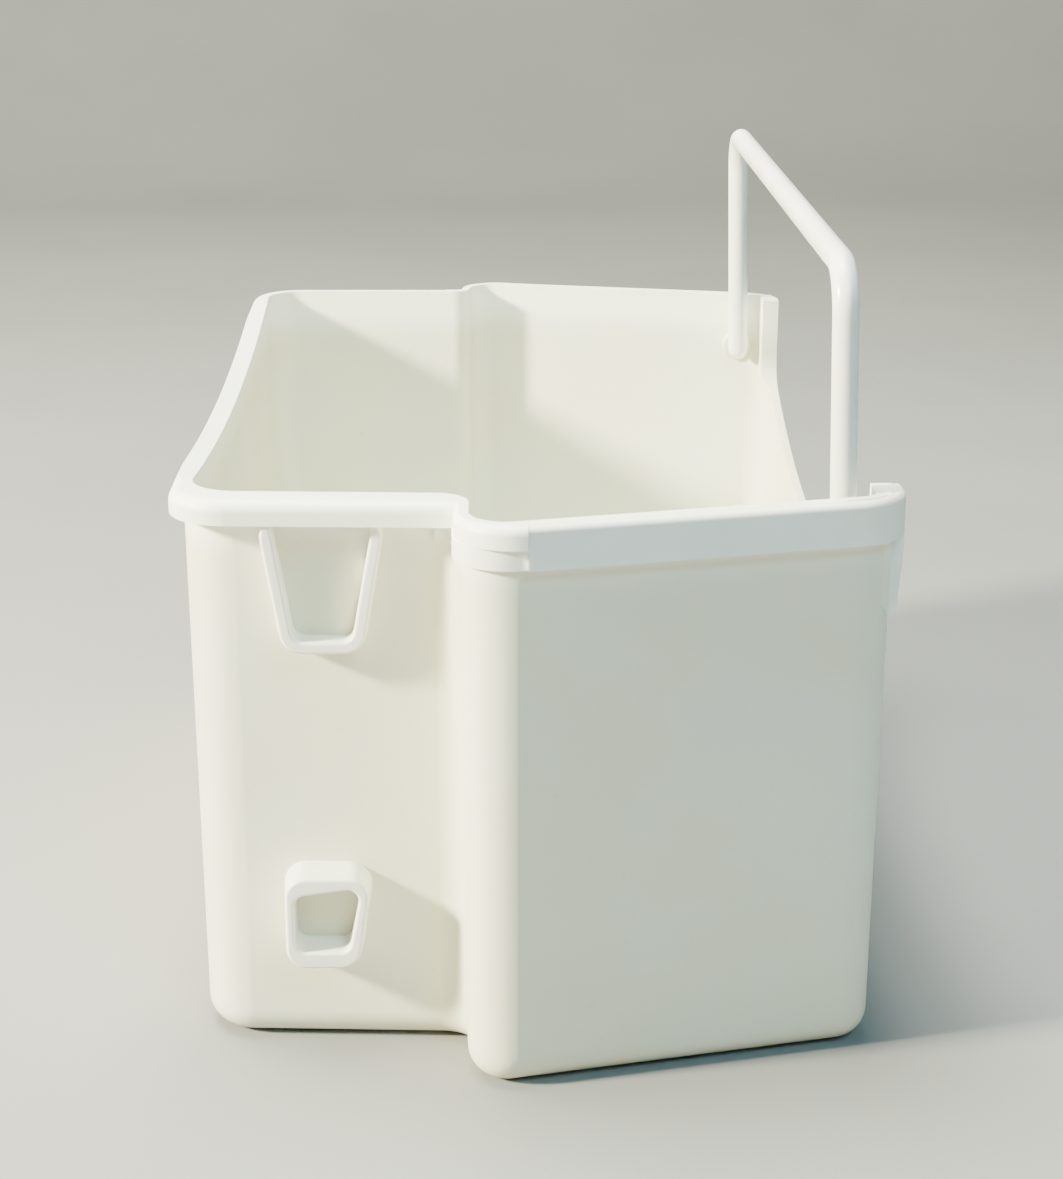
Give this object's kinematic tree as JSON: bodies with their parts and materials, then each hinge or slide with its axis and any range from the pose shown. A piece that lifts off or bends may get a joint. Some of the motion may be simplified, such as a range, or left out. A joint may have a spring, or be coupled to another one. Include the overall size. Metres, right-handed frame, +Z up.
{
  "type": "feed bucket",
  "caption": "Moulded stable feed bucket with a stepped narrow end, a curved neck cut-out, strap sockets on one side and a swinging coated-wire bail.",
  "frame": {"origin": "on the ground at the middle of the bucket's footprint box", "axes": "+Z up, +X from the narrow end to the end with the neck cut-out, +Y to the rear side; the bail's hinge axis and the longest side lie along Y"},
  "size_m": [0.2234, 0.3814, 0.2545],
  "materials": {
    "tub_plastic": "satin",
    "band_plastic": "satin",
    "socket_plastic": "satin",
    "bail_plastic": "gloss",
    "bail_steel": "drawn"
  },
  "bodies": {
    "bucket": {"tub": "tub_plastic", "front_rim_band": "band_plastic", "rear_rim_band": "band_plastic", "upper_socket": "socket_plastic", "lower_socket": "socket_plastic", "front_pivot_boss": "tub_plastic", "rear_pivot_boss": "tub_plastic"},
    "bail": {"bail_core": "bail_steel", "bail_coating": "bail_plastic"}
  },
  "joints": [
    {"name": "bail_swing", "type": "hinge", "parent": "bucket", "child": "bail", "pos_m": [0.0926, 0, 0.161], "axis": [0, 1, 0], "range_deg": [-178, 12]}
  ]
}
